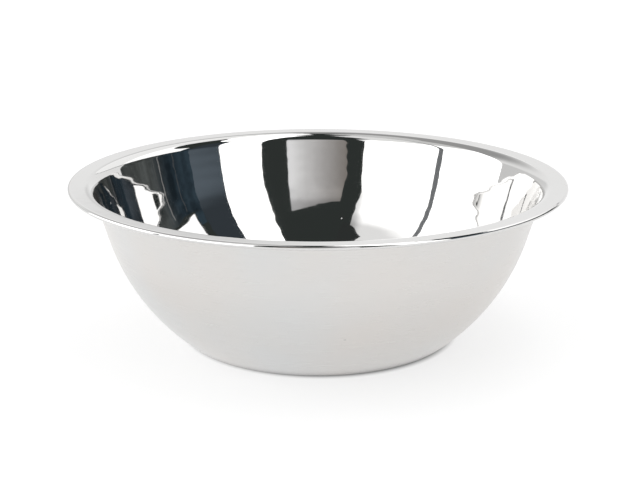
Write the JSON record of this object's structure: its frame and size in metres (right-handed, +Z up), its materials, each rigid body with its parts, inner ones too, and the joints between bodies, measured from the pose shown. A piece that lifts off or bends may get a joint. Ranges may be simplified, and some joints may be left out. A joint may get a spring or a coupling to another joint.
{
  "type": "mixing bowl",
  "caption": "Round stainless steel mixing bowl with a flat base, a curved wall, and a wide lip whose edge is rolled under.",
  "frame": {"origin": "middle of the flat underside, on the surface that the bowl stands on", "axes": "+Z up along the bowl's axis, with X and Y level and interchangeable, because the bowl is round"},
  "size_m": [0.3366, 0.3366, 0.109],
  "materials": {
    "stainless_steel": "mirror polished inside and on the lip, satin outside"
  },
  "bodies": {
    "root": {"bowl": "stainless_steel"}
  },
  "joints": []
}
